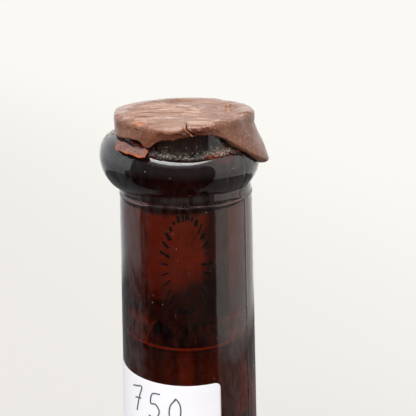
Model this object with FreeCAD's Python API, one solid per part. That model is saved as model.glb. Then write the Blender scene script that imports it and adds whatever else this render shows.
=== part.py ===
"""Old amber glass wine bottle with its cork, a cracked sealing-wax cap and a paper neck label.

Millimetres, +Z up. The neck's axis is the Z axis and the bottle stands on z = 0.
Azimuth 0 faces -Y, the front; positive azimuths turn towards +X.
"""
import FreeCAD, Part
import math
import os

Vector = FreeCAD.Vector
UP = Vector(0, 0, 1)

# ---------------------------------------------------------------- driving sizes
# body
body_radius = 38.7
body_wall = 2.8
base_thickness = 5.0
heel_radius = 6.0
foot_ring_width = 6.5
punt_height = 21.0
inner_corner = 4.0
shoulder_radius = 27.0
throat_radius = 34.0

# neck, which narrows evenly from the throat up to the parting line under the collar
throat_height = 225.0
neck_length = 56.0
parting_height = throat_height + neck_length
neck_top_radius = 14.22
neck_taper = 0.0243
parting_bead = 0.16
parting_bead_width = 0.7
band_step = 0.2
band_height = 1.5
band_overlap = 2.0

# bore
bore_radius = 9.3
bore_length = 45.5
throat_bore_radius = 10.5

# Heights from here on are measured from the parting line.
# lip: the plain band round the mouth, a little off the neck's axis
lip_radius = 12.9
lip_top = 15.8
lip_edge = 0.9
lip_centre = (-0.6, 0.3)

# collar: the heavy rounded ring under the lip, laid on off-centre and a little askew
collar_centre = (-1.15, 0.8)
collar_root = 13.2
collar_bulge = 3.84
collar_bottom = 0.5
collar_top = 12.1
collar_lean = 0.39
collar_tool_rise = 0.8
collar_tool_dip = 2.0
collar_crest = 0.58
collar_soft_under = 0.74
collar_square_top = 0.5

# cork and wine
cork_length = 43.0
cork_chamfer = 0.6
wine_level = -32.7
seat_clearance = 0.05

# sealing wax
wax_crown = 1.5
wax_skin = 0.8
wax_radius = 14.65
wax_centre = (-0.05, 0.1)
wax_shoulder = 1.3
wax_flat_edge = 2.9
wax_sag = 0.3
wax_sag_azimuth = -105
wax_draw_in = 0.12
wax_bridge = 0.9
wax_skirt = 2.8
wax_wetting = 0.1
# the underside, from the lip out to the rounded edge: (share of the way, height above the rim)
wax_underside = ((0.4, 0.0), (0.7, -0.05), (0.9, 0.0), (0.99, 0.25))
# name: (azimuth of its middle, half its width in degrees, how far it lifts the rim)
wax_rim_lobes = {
    "broken arch": (10, 42, 1.5),
    "broken point": (-29, 9, -1.2),
    "left lobe": (-78, 40, -0.4),
    "long run": (86, 60, -7.0),
    "back lobe": (176, 46, -1.6),
    "back notch": (-135, 30, 0.8),
}
# the long run leans out from the drum at a steady slope below this level
run_slope = 0.43
run_top = 14.6
crack_width = 0.42
crack_narrow_share = 0.25
crack_turns = ((0.35, 1.45), (1.0, 0.75), (1.15, 0.2), (1.95, -0.4), (2.6, -1.05), (3.5, -2.1))

# the flake of wax that broke out under the left lobe and still lies on the collar;
# its corners are seen from the front, as x and height above the collar's top
flake_thickness = 1.15
flake_inner_radius = 14.75
flake_corners = ((-13.3, 0.1), (-12.1, 0.15), (-10.6, -0.15), (-8.6, -0.35), (-6.7, -0.3),
                 (-7.4, -1.65), (-8.9, -1.75), (-10.6, -1.35), (-12.0, -1.2), (-13.7, -0.9))

# paper label
label_width = 38.1
label_height = 21.2
label_thickness = 0.15
label_top = -39.3
label_right_azimuth = 27.0
label_corner = 1.3

# how far a cutting form runs past what it cuts
overrun = 2.0


# ---------------------------------------------------------------- shared geometry
def neck_radius(height):
    """Outside radius of the plain neck at a height measured from the parting line."""
    return neck_top_radius - neck_taper * height


def direction(azimuth):
    """Unit vector that points out of the neck at an azimuth in degrees."""
    angle = math.radians(azimuth)
    return Vector(math.sin(angle), -math.cos(angle), 0)


def bump(azimuth, middle, half_width):
    """Smooth hump: 1 at its middle, 0 at half_width degrees to either side and beyond."""
    distance = abs((azimuth - middle + 180) % 360 - 180) / half_width
    if distance >= 1:
        return 0.0
    return 0.5 + 0.5 * math.cos(math.pi * distance)


def reach(centre, radius, azimuth):
    """Distance from the neck's axis to an off-centre circle, along an azimuth."""
    ray = direction(azimuth)
    along = centre[0] * ray.x + centre[1] * ray.y
    across = centre[0] * ray.y - centre[1] * ray.x
    return along + math.sqrt(radius ** 2 - across ** 2)


def at(azimuth, radius, height):
    """Point of the finish, at a height measured from the parting line."""
    return direction(azimuth) * radius + UP * (parting_height + height)


def revolve(points_and_edges):
    """Solid of revolution about Z from a closed chain of edges in the XZ plane."""
    face = Part.Face(Part.Wire(points_and_edges))
    return face.revolve(Vector(0, 0, 0), UP, 360)


def line(a, b):
    """Straight edge between two (radius, z) pairs."""
    return Part.LineSegment(Vector(a[0], 0, a[1]), Vector(b[0], 0, b[1])).toShape()


def arc(a, middle, b):
    """Round edge through three (radius, z) pairs."""
    ends = [Vector(p[0], 0, p[1]) for p in (a, middle, b)]
    return Part.Arc(*ends).toShape()


def arc_about(centre, radius, start, end):
    """Round edge about a (radius, z) centre between two angles in degrees."""
    def on(angle):
        turn = math.radians(angle)
        return (centre[0] + radius * math.cos(turn), centre[1] + radius * math.sin(turn))
    return arc(on(start), on((start + end) / 2), on(end))


def skin_solid(rows):
    """Solid inside a smooth closed skin.

    Each row is a ring of points, all rings with the same count. The skin is cubic both ways,
    closed round the ring, and shut by a flat face at the first and at the last row.
    """
    around = len(rows[0])
    along = len(rows)
    poles = [[rows[j][i] for j in range(along)] for i in range(around)]
    knots_along = list(range(along - 2))
    mults_along = [4] + [1] * (along - 4) + [4]
    surface = Part.BSplineSurface()
    surface.buildFromPolesMultsKnots(poles, [1] * (around + 1), mults_along, list(range(around + 1)),
                                     knots_along, True, False, 3, 3)
    side = surface.toShape()
    ends = [edge for edge in side.Edges if edge.isClosed()]
    caps = [Part.Face(Part.Wire([edge])) for edge in ends]
    shell = Part.Shell([side] + caps)
    shell.sewShape()
    return Part.Solid(shell)


# ---------------------------------------------------------------- glass
def shoulder(neck_point, neck_slope, concave, convex, radius):
    """Arcs that lead from the neck down to the body wall, and the height where the wall begins."""
    angle = math.atan(neck_slope)
    throat = (neck_point[0] + concave * math.cos(angle), neck_point[1] + concave * math.sin(angle))
    crown_x = radius - convex
    rise = math.sqrt((concave + convex) ** 2 - (throat[0] - crown_x) ** 2)
    crown = (crown_x, throat[1] - rise)
    meeting = math.degrees(math.atan2(rise, throat[0] - crown_x))
    upper = arc_about(throat, concave, 180 + math.degrees(angle), 180 + meeting)
    lower = arc_about(crown, convex, meeting, 0)
    return [upper, lower], crown[1]


def throat_point():
    """Where the plain neck ends and the throat begins to swell, as (radius, z)."""
    return (neck_radius(throat_height - parting_height), throat_height)


def punt_dome():
    """Height of the centre and radius of the round dome pushed up into the base."""
    foot = body_radius - heel_radius - foot_ring_width
    radius = (foot ** 2 + punt_height ** 2) / (2 * punt_height)
    return punt_height - radius, radius


def outer_form():
    """The blown bottle without its finish: punt, heel, wall, shoulder, neck and parting bead."""
    arcs, wall_top = shoulder(throat_point(), neck_taper, throat_radius, shoulder_radius, body_radius)
    foot_outer = body_radius - heel_radius
    foot_inner = foot_outer - foot_ring_width
    heel_mid = heel_radius * (1 - math.sqrt(0.5))
    neck_top = (neck_top_radius, parting_height)
    band_radius = neck_top_radius - band_step
    band_low = (band_radius, parting_height + band_step)
    band_high = (band_radius, parting_height + band_height)
    band_top = (band_radius - 0.5 * band_overlap, parting_height + band_height + band_overlap)
    bead_low = (neck_radius(-parting_bead_width), parting_height - parting_bead_width)
    bead = (neck_top_radius + parting_bead, parting_height - parting_bead_width / 2)
    dome_level, dome_radius = punt_dome()
    dome_edge = math.degrees(math.atan2(-dome_level, foot_inner))
    edges = [arc_about((0, dome_level), dome_radius, 90, dome_edge),
             line((foot_inner, 0), (foot_outer, 0)),
             arc((foot_outer, 0), (body_radius - heel_mid, heel_mid), (body_radius, heel_radius)),
             line((body_radius, heel_radius), (body_radius, wall_top))]
    edges += [arcs[1], arcs[0]]
    edges += [line(throat_point(), bead_low),
              arc(bead_low, bead, neck_top),
              line(neck_top, band_low),
              line(band_low, band_high),
              line(band_high, band_top),
              line(band_top, (0, band_top[1])),
              line((0, band_top[1]), (0, punt_height))]
    return revolve(Part.__sortEdges__(edges))


def cavity_edges(gap, top):
    """Closed outline of the inside, drawn in from the glass by gap and cut off at a height."""
    inner_neck = (throat_bore_radius - gap, throat_height)
    bore_foot = parting_height + lip_top - bore_length
    slope = (throat_bore_radius - bore_radius) / (bore_foot - throat_height)
    inner_wall = body_radius - body_wall - gap
    inner_throat = throat_radius + throat_point()[0] - throat_bore_radius + gap
    inner_crown = shoulder_radius - body_wall - gap
    arcs, wall_top = shoulder(inner_neck, slope, inner_throat, inner_crown, inner_wall)
    dome_level, dome_radius = punt_dome()
    inner_dome = dome_radius + base_thickness
    corner_x = body_radius - body_wall - inner_corner
    corner_rise = math.sqrt((inner_dome + inner_corner) ** 2 - corner_x ** 2)
    corner = (corner_x, dome_level + corner_rise)
    meeting = math.degrees(math.atan2(corner_rise, corner_x))
    edges = [arc_about((0, dome_level), inner_dome + gap, 90, meeting),
             arc_about(corner, inner_corner - gap, 180 + meeting, 360),
             line((inner_wall, corner[1]), (inner_wall, wall_top))]
    edges += [arcs[1], arcs[0]]
    if top > bore_foot:
        edges += [line(inner_neck, (bore_radius - gap, bore_foot)),
                  line((bore_radius - gap, bore_foot), (bore_radius - gap, top))]
        rim = bore_radius - gap
    else:
        rim = inner_neck[0] - slope * (top - throat_height)
        edges += [line(inner_neck, (rim, top))]
    edges += [line((rim, top), (0, top)), line((0, top), (0, dome_level + inner_dome + gap))]
    return Part.__sortEdges__(edges)


def collar_limits(azimuth):
    """Lowest and highest level of the collar at an azimuth."""
    side = math.sin(math.radians(azimuth))
    front = math.cos(math.radians(azimuth)) ** 2
    low = collar_bottom - collar_lean * side + collar_tool_rise * front
    high = collar_top - collar_lean * side - collar_tool_dip * front
    return low, high


def collar_profile(share):
    """Collar radius about its own centre, at a share of its height from 0 to 1."""
    if share < collar_crest:
        off = (collar_crest - share) / collar_crest
        fullness = collar_soft_under
    else:
        off = (share - collar_crest) / (1 - collar_crest)
        fullness = collar_square_top
    return collar_root + collar_bulge * max(0.0, 1 - off * off) ** fullness


def collar_form(grow=0.0):
    """The collar as a solid ring form, thickened all round by grow."""
    around = 36
    core = 0.5 * (bore_radius + collar_root)
    step = 0.25 * (collar_root - core)
    shares = [0.0, 0.03, 0.08, 0.16, 0.26, 0.38, 0.5, 0.62, 0.74, 0.84, 0.91, 0.96, 0.99, 1.0]
    rows = []
    azimuths = [360.0 * i / around for i in range(around)]
    low_cap = collar_bottom - 2 * collar_lean - grow
    high_cap = collar_top + 1.2 * collar_lean + grow
    rows.append([at(a, core, low_cap) for a in azimuths])
    rows.append([at(a, core + step, low_cap) for a in azimuths])
    for share in shares:
        ring = []
        for a in azimuths:
            low, high = collar_limits(a)
            level = low - grow + share * (high - low + 2 * grow)
            ring.append(at(a, reach(collar_centre, collar_profile(share) + grow, a), level))
        rows.append(ring)
    rows.append([at(a, core + step, collar_limits(a)[1] + grow) for a in azimuths])
    rows.append([at(a, core + 0.2 * step, high_cap) for a in azimuths])
    rows.append([at(a, core, high_cap) for a in azimuths])
    return skin_solid(rows)


def lip_form():
    """The lip, a short round-edged band from inside the collar up to the mouth."""
    foot = parting_height + band_height
    mouth = parting_height + lip_top
    mid = lip_edge * (1 - math.sqrt(0.5))
    edges = [line((0, foot), (lip_radius, foot)),
             line((lip_radius, foot), (lip_radius, mouth - lip_edge)),
             arc((lip_radius, mouth - lip_edge), (lip_radius - mid, mouth - mid), (lip_radius - lip_edge, mouth)),
             line((lip_radius - lip_edge, mouth), (0, mouth)),
             line((0, mouth), (0, foot))]
    lip = revolve(Part.__sortEdges__(edges))
    lip.translate(Vector(lip_centre[0], lip_centre[1], 0))
    return lip


def finish_form():
    """Collar and lip as one closed form, without the bore."""
    return collar_form().fuse(lip_form())


def bottle_glass(finish):
    """The whole glass: blown form and finish as one piece, emptied by the cavity and the bore."""
    mouth = parting_height + lip_top
    whole = outer_form().fuse(finish)
    hollow = revolve(cavity_edges(0.0, mouth + overrun))
    return whole.cut(hollow)


# ---------------------------------------------------------------- cork and wine
def cork():
    """Plain cylindrical cork, pressed in flush with the mouth, its lower edge chamfered."""
    radius = bore_radius - seat_clearance
    top = parting_height + lip_top - seat_clearance
    foot = top - cork_length
    edges = [line((0, foot), (radius - cork_chamfer, foot)),
             line((radius - cork_chamfer, foot), (radius, foot + cork_chamfer)),
             line((radius, foot + cork_chamfer), (radius, top)),
             line((radius, top), (0, top)),
             line((0, top), (0, foot))]
    return revolve(Part.__sortEdges__(edges))


def wine():
    """The wine, filling the inside up to its level in the neck."""
    return revolve(cavity_edges(seat_clearance, parting_height + wine_level))


# ---------------------------------------------------------------- sealing wax
def finish_radius(azimuth, height):
    """Distance from the neck's axis to the surface of lip or collar at a height."""
    low, high = collar_limits(azimuth)
    share = (height - low) / (high - low)
    lip = reach(lip_centre, lip_radius, azimuth)
    if share <= 0 or share >= 1:
        return lip
    return max(lip, reach(collar_centre, collar_profile(share), azimuth))


def wax_rim(azimuth):
    """Level of the wax cap's lower edge at an azimuth."""
    lift = sum(size * bump(azimuth, middle, width) for middle, width, size in wax_rim_lobes.values())
    return lip_top - wax_skirt + lift


def wax_radius_at(azimuth, height):
    """Outer radius of the wax: its own drum, swelling where it runs down over the collar."""
    run_middle, run_width, _ = wax_rim_lobes["long run"]
    lobe_middle, lobe_width, _ = wax_rim_lobes["left lobe"]
    lean = run_slope * max(0.0, run_top - height) * bump(azimuth, run_middle, run_width + 10)
    tuck = wax_draw_in * max(0.0, lip_top - height) * bump(azimuth, lobe_middle, 1.5 * lobe_width)
    drum = reach(wax_centre, wax_radius, azimuth) + lean - tuck
    coat = finish_radius(azimuth, height) + wax_skin
    swell = 0.5 * (drum + coat + math.sqrt((drum - coat) ** 2 + wax_bridge ** 2))
    return swell - wax_wetting


def wax_crown_level(azimuth):
    """Level of the crown's rounded edge, which has sagged a little on one side."""
    return lip_top + wax_crown - wax_sag * bump(azimuth, wax_sag_azimuth, 100)


def wax_form():
    """The wax as a solid form: flat crown, rounded shoulder, skirt and lobed lower edge.

    Its rings run from a core inside the glass, out under the rim, up the skirt and over the
    shoulder to the crown.
    """
    around = 90
    azimuths = [360.0 * i / around for i in range(around)]
    core = 0.5 * (bore_radius + lip_radius)
    core_step = 0.5
    core_level = 0.5 * (collar_bottom + collar_top) - wax_skirt
    rows = []
    rows.append([at(a, core, core_level) for a in azimuths])
    rows.append([at(a, core, core_level + core_step) for a in azimuths])
    rows.append([at(a, core + core_step, wax_rim(a) - core_step) for a in azimuths])
    for share, lift in wax_underside:
        ring = []
        for a in azimuths:
            rim = wax_rim(a)
            inner = core + core_step
            ring.append(at(a, inner + share * (wax_radius_at(a, rim) - inner), rim + lift))
        rows.append(ring)
    for share in (0.15, 0.3, 0.45, 0.6, 0.8, 1.0):
        ring = []
        for a in azimuths:
            rim = wax_rim(a)
            level = rim + share * (wax_crown_level(a) - wax_shoulder - rim)
            ring.append(at(a, wax_radius_at(a, level), level))
        rows.append(ring)
    for turn in (35, 65, 90):
        angle = math.radians(turn)
        inset = wax_shoulder * (1 - math.cos(angle))
        drop = wax_shoulder * (1 - math.sin(angle))
        ring = []
        for a in azimuths:
            crown = wax_crown_level(a)
            ring.append(at(a, wax_radius_at(a, crown - wax_shoulder) - inset, crown - drop))
        rows.append(ring)
    rows.append([at(a, wax_radius - wax_flat_edge, lip_top + wax_crown) for a in azimuths])
    return skin_solid(rows)


def crack_cutter():
    """Thin zigzag wedge, narrow at the crown and widest at the broken arch."""
    crown = parting_height + lip_top
    left = []
    right = []
    last = len(crack_turns) - 1
    for i, (x, z) in enumerate(crack_turns):
        half = 0.5 * crack_width * (crack_narrow_share + (1 - crack_narrow_share) * i / last)
        left.append(Vector(x - half, 0, crown + z))
        right.append(Vector(x + half, 0, crown + z))
    outline = left + right[::-1]
    face = Part.Face(Part.makePolygon(outline + outline[:1]))
    front = wax_radius + overrun
    face.translate(Vector(0, -front, 0))
    return face.extrude(Vector(0, front - bore_radius, 0))


def wax_cap(glass):
    """The cap: the wax form less everything that it was poured over, and less the crack."""
    plug = Part.makeCylinder(bore_radius, lip_top, Vector(0, 0, parting_height))
    return wax_form().cut(glass).cut(plug).cut(crack_cutter())


def wax_flake(glass):
    """The loose flake: a piece of wax skin that follows the collar, with broken edges."""
    outline = [Vector(x, 0, parting_height + collar_top + z) for x, z in flake_corners]
    face = Part.Face(Part.makePolygon(outline + outline[:1]))
    front = collar_root + collar_bulge + overrun
    face.translate(Vector(0, -front, 0))
    wedge = face.extrude(Vector(0, front - overrun, 0))
    core = Part.makeCylinder(flake_inner_radius, lip_top, Vector(0, 0, parting_height))
    return collar_form(flake_thickness).common(wedge).cut(core).cut(glass)


# ---------------------------------------------------------------- paper label
def neck_line(gap, low, high):
    """Edges that follow the neck and throat outside at a gap, with their upper and lower ends."""
    angle = math.atan(neck_taper)
    point = throat_point()
    centre = (point[0] + throat_radius * math.cos(angle), point[1] + throat_radius * math.sin(angle))
    radius = throat_radius - gap

    def on_throat(height):
        return (centre[0] - math.sqrt(radius ** 2 - (centre[1] - height) ** 2), height)

    def on_neck(height):
        return (neck_radius(height - parting_height) + gap / math.cos(angle), height)

    bend = centre[1] - radius * math.sin(angle)
    if low >= bend:
        return [line(on_neck(high), on_neck(low))], on_neck(high), on_neck(low)
    if high <= bend:
        curve = arc(on_throat(high), on_throat((high + low) / 2), on_throat(low))
        return [curve], on_throat(high), on_throat(low)
    joint = on_throat(bend)
    curve = arc(joint, on_throat((bend + low) / 2), on_throat(low))
    return [line(on_neck(high), joint), curve], on_neck(high), on_throat(low)


def corner_trimmer(azimuth, height, side, end):
    """Form that rounds off one corner of the label: a square rod less a round one, both radial."""
    out = direction(azimuth)
    across = UP.cross(out) * (2 * side * label_corner)
    along = UP * (2 * end * label_corner)
    start = out * bore_radius + UP * height
    length = neck_radius(label_top - label_height) + overrun - bore_radius
    square = Part.makePolygon([start, start + across, start + across + along, start + along, start])
    rod = Part.Face(square).extrude(out * length)
    return rod.cut(Part.makeCylinder(label_corner, length, start, out))


def paper_label():
    """Rounded rectangle of paper that follows the neck down into the throat."""
    top = parting_height + label_top
    foot = top - label_height
    lift = seat_clearance + label_thickness
    inside, inner_top, inner_foot = neck_line(seat_clearance, foot, top)
    outside, outer_top, outer_foot = neck_line(lift, foot, top)
    edges = inside + outside + [line(inner_top, outer_top), line(inner_foot, outer_foot)]
    radius = neck_radius(label_top - label_height / 2)
    sweep = math.degrees(label_width / radius)
    inset = math.degrees(label_corner / radius)
    face = Part.Face(Part.Wire(Part.__sortEdges__(edges)))
    face.rotate(Vector(0, 0, 0), UP, label_right_azimuth - 90 - sweep)
    label = face.revolve(Vector(0, 0, 0), UP, sweep)
    for azimuth, side in ((label_right_azimuth - inset, 1), (label_right_azimuth - sweep + inset, -1)):
        for height, end in ((top - label_corner, 1), (foot + label_corner, -1)):
            label = label.cut(corner_trimmer(azimuth, height, side, end))
    return label


# ---------------------------------------------------------------- build
finish = finish_form()
glass = bottle_glass(finish)
nodes = {
    "bottle_glass": glass,
    "wine": wine(),
    "cork": cork(),
    "wax_cap": wax_cap(glass),
    "wax_flake": wax_flake(glass),
    "paper_label": paper_label(),
}

os.makedirs("parts", exist_ok=True)
for name, shape in nodes.items():
    piece = shape.Solids[0] if len(shape.Solids) == 1 else shape
    print(name, "solids", len(shape.Solids), "valid", shape.isValid(), "volume", round(shape.Volume, 1))
    piece.exportStep(os.path.join("parts", name + ".step"))
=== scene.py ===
"""Old amber wine bottle: hand-finished glass, wine, cork, cracked sealing wax, dust and a paper label."""
import math
from functools import partial
import bmesh
import bpy
import numpy as np
from mathutils import Matrix, Vector, noise


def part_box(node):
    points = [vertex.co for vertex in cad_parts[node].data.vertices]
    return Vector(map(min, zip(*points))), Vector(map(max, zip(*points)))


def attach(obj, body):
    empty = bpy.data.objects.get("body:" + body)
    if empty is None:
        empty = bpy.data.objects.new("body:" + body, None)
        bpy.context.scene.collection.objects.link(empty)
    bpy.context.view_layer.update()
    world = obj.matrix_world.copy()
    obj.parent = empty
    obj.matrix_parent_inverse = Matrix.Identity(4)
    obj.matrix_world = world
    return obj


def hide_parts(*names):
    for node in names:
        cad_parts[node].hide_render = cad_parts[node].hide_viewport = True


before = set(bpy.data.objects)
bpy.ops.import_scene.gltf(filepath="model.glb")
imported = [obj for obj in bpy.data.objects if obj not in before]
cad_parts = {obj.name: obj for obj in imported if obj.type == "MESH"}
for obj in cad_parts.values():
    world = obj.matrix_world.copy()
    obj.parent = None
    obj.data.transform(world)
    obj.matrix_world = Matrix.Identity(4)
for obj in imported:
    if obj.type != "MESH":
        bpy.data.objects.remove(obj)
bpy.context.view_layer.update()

MM = 0.001


# ------------------------------------------------------------------ the glass bottle
# One piece of dark amber glass. The body and neck were blown in a two-part mould, which left a
# seam up each side; the collar and the lip were laid on by hand, a little off-centre and askew.
glass_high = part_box("bottle_glass")[1]
body_draw_in = 0.03
body_radius = glass_high.x / MM - body_draw_in
mouth = glass_high.z / MM
body_wall = 2.8
base_thickness = 5.0
heel_radius = 6.0
foot_ring_width = 6.5
punt_height = 21.0
inner_corner = 4.0
shoulder_radius = 27.0
throat_radius = 34.0
lip_top = 15.8
parting = mouth - lip_top
throat_height = parting - 56.0
neck_top_radius = 14.22
neck_taper = 0.0243
parting_bead = 0.1
parting_bead_width = 0.7
band_step = 0.2
band_radius = neck_top_radius - band_step
bore_radius = 9.3
bore_foot = mouth - 45.5
throat_bore_radius = 10.5
bore_taper = (throat_bore_radius - bore_radius) / (bore_foot - throat_height)
lip_radius = 12.9
lip_edge = 0.9
lip_centre = (-0.6, 0.3)
collar_centre = (-1.15, 0.8)
collar_root = 13.2
collar_bulge = 3.84
collar_crest = 0.58
collar_foot = 0.5
collar_top = 12.1
collar_lean = 0.39
foot_rise = 0.8
top_dip = 2.0
seam_azimuths = (60.0, -120.0)
seam_shift = -7.0
seam_width = 0.22
seam_height = 0.12
parting_groove = 0.3
# humps along the parting line: (azimuth of the middle, half its width in degrees, how much)
bead_swell = (0, 9, 1.4)
groove_deeper = (50, 60, 1.25)
outer_wave = 0.03
inner_wave = 0.09
wave_size = {"Width": 8 * MM, "Length": 22 * MM}
film_front = 0.0025
side_dust_and_reflection = 0.019
film_clear_middle = -3
film_clear_half = 25
film_fade = 20
film_lip_from = 10.0
film_lip = 0.01
film_groove = 0.05
film_corner = 0.011
film_body = 0.3
film_inside = 0.12


def bump(azimuth, middle, half_width):
    """Smooth hump: 1 at its middle, 0 at half_width degrees to either side and beyond."""
    distance = np.abs((azimuth - middle + 180) % 360 - 180) / half_width
    return np.where(distance < 1, 0.5 + 0.5 * np.cos(np.pi * distance), 0.0)


def humps(azimuth, *rows):
    """Sum of smooth humps, each given as its middle, its half width in degrees and its height."""
    return sum(height * bump(azimuth, middle, half_width) for middle, half_width, height in rows)


def ramp(value, start, end):
    """0 up to a start, 1 from an end on, straight between; it falls where the end is the smaller."""
    return np.clip((value - start) / (end - start), 0, 1)


def peak(value, middle, width):
    """1 at a middle, dying away smoothly over a width to either side."""
    return np.exp(-((value - middle) / width) ** 2)


def reach(centre, radius, azimuth):
    """Distance from the neck's axis to an off-centre circle, along an azimuth."""
    turn = np.radians(azimuth)
    along = centre[0] * np.sin(turn) - centre[1] * np.cos(turn)
    across = -centre[0] * np.cos(turn) - centre[1] * np.sin(turn)
    return along + np.sqrt(radius ** 2 - across ** 2)


def ring(azimuth, radius, level):
    """Ring of points round the neck's axis, in millimetres; azimuth 0 faces the front."""
    turn = np.radians(azimuth)
    return np.stack([radius * np.sin(turn), -radius * np.cos(turn), level + 0 * turn], axis=1)


def arc(centre, radius, start, end, count):
    """Points (radius, height) of a round stretch of outline between two angles in degrees."""
    turns = np.radians(np.linspace(start, end, count))
    return [(centre[0] + radius * math.cos(t), centre[1] + radius * math.sin(t)) for t in turns]


def run(a, b, step):
    """Points (radius, height) of a straight stretch of outline, without its first point."""
    count = max(1, round(math.dist(a, b) / step))
    return [(a[0] + (b[0] - a[0]) * k / count, a[1] + (b[1] - a[1]) * k / count)
            for k in range(1, count + 1)]


def shoulder(neck_point, slope, concave, convex, radius, count):
    """Outline from the body wall up over the shoulder to the neck, and where the wall ends."""
    angle = math.atan(slope)
    throat = (neck_point[0] + concave * math.cos(angle), neck_point[1] + concave * math.sin(angle))
    crown_x = radius - convex
    rise = math.sqrt((concave + convex) ** 2 - (throat[0] - crown_x) ** 2)
    crown = (crown_x, throat[1] - rise)
    meeting = math.degrees(math.atan2(rise, throat[0] - crown_x))
    lower = arc(crown, convex, 0, meeting, count)
    upper = arc(throat, concave, 180 + meeting, 180 + math.degrees(angle), count)
    return lower + upper[1:], crown[1]


def neck_radius(level):
    """Outer radius of the plain neck at an absolute height."""
    return neck_top_radius - neck_taper * (level - parting)


def ring_mesh(name, rings):
    """Closed smooth mesh through a stack of equal rings, shut by a point in the middle of each end."""
    rings = np.array(rings)
    rows, columns, _ = rings.shape
    points = np.concatenate([rings.reshape(-1, 3), [rings[0].mean(axis=0), rings[-1].mean(axis=0)]])
    here = np.arange(columns)
    after = (here + 1) % columns
    top = (rows - 1) * columns
    foot = np.stack([0 * here + rows * columns, after, here], axis=1)
    head = np.stack([top + here, top + after, 0 * here + rows * columns + 1], axis=1)
    low = columns * np.arange(rows - 1)[:, None]
    high = low + columns
    sides = np.stack([low + here, low + after, high + after, high + here], axis=2).reshape(-1, 4)
    mesh = bpy.data.meshes.new(name)
    mesh.from_pydata(points * MM, [], foot.tolist() + head.tolist() + sides.tolist())
    mesh.shade_smooth()
    return mesh


def set_attribute(mesh, name, values):
    """Store one number for each vertex."""
    layer = mesh.attributes.new(name, "FLOAT", "POINT")
    layer.data.foreach_set("value", np.asarray(values, dtype=np.float32))


def get_points(mesh, what="co"):
    """Position or normal of every vertex."""
    values = np.empty(3 * len(mesh.vertices))
    mesh.vertices.foreach_get(what, values)
    return values.reshape(-1, 3)


def azimuths_of(spots):
    """Azimuth of each point."""
    return np.degrees(np.arctan2(spots[:, 0], -spots[:, 1]))


def add_object(name, shape):
    """Put a mesh, a curve or a lamp in the scene as an object at the origin."""
    piece = bpy.data.objects.new(name, shape)
    bpy.context.scene.collection.objects.link(piece)
    return piece


def made_mesh(piece):
    """Plain mesh that a curve, or a piece with its modifiers, comes to."""
    bpy.context.view_layer.update()
    return bpy.data.meshes.new_from_object(piece.evaluated_get(bpy.context.evaluated_depsgraph_get()))


def add_node(tree, kind, inputs=None, **settings):
    """Add a node with its settings; inputs gives sockets a value, or the node or socket that feeds them."""
    node = tree.nodes.new(kind if "Node" in kind else "ShaderNode" + kind)
    for name, value in settings.items():
        setattr(node, name, value)
    for key, value in (inputs or {}).items():
        if isinstance(value, bpy.types.Node):
            value = next(s for s in value.outputs if s.enabled)
        if isinstance(value, bpy.types.NodeSocket):
            tree.links.new(value, node.inputs[key])
        else:
            node.inputs[key].default_value = value
    return node


def srgb(code):
    """Linear colour of an sRGB hex code."""
    parts = [int(code[i:i + 2], 16) / 255 for i in (1, 3, 5)]
    linear = [c / 12.92 if c <= 0.04045 else ((c + 0.055) / 1.055) ** 2.4 for c in parts]
    return (*linear, 1.0)


def new_material(name):
    """Empty material, and the function that adds nodes to it."""
    material = bpy.data.materials.new(name)
    material.use_nodes = True
    material.node_tree.nodes.clear()
    return material, partial(add_node, material.node_tree)


def grow(name, tree, mesh, **values):
    """Run a Geometry Nodes tree on a mesh and return the plain piece that it makes."""
    piece = add_object(name, mesh)
    modifier = piece.modifiers.new(tree.name, "NODES")
    modifier.node_group = tree
    sockets = {s.name: s.identifier for s in tree.interface.items_tree if s.in_out == "INPUT"}
    for key, value in values.items():
        modifier[sockets[key]] = value
    piece.data = made_mesh(piece)
    piece.modifiers.clear()
    return piece


def new_tree(name, inputs):
    """Geometry Nodes tree with named inputs, those inputs, and the function that adds nodes to it."""
    tree = bpy.data.node_groups.new(name, "GeometryNodeTree")
    tree.interface.new_socket("Geometry", in_out="OUTPUT", socket_type="NodeSocketGeometry")
    for socket, kind in {"Geometry": "Geometry", **inputs}.items():
        tree.interface.new_socket(socket, in_out="INPUT", socket_type="NodeSocket" + kind)
    return tree, tree.nodes.new("NodeGroupInput").outputs, partial(add_node, tree)


def collar_limits(azimuth):
    """Lowest and highest level of the collar above the parting line, at an azimuth."""
    side = np.sin(np.radians(azimuth))
    front = np.cos(np.radians(azimuth)) ** 2
    lean = collar_lean * side
    return collar_foot - lean + foot_rise * front, collar_top - lean - top_dip * front


def collar_profile(share):
    """Collar radius about its own centre, at a share of its height from 0 to 1."""
    share = np.clip(share, 0, 1)
    under = share < collar_crest
    off = np.where(under, (collar_crest - share) / collar_crest, (share - collar_crest) / (1 - collar_crest))
    return collar_root + collar_bulge * np.maximum(0, 1 - off * off) ** np.where(under, 0.74, 0.5)


def dome():
    """Height of the centre and radius of the round punt pushed up into the base."""
    foot = body_radius - heel_radius - foot_ring_width
    radius = (foot ** 2 + punt_height ** 2) / (2 * punt_height)
    return punt_height - radius, radius, foot


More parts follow.
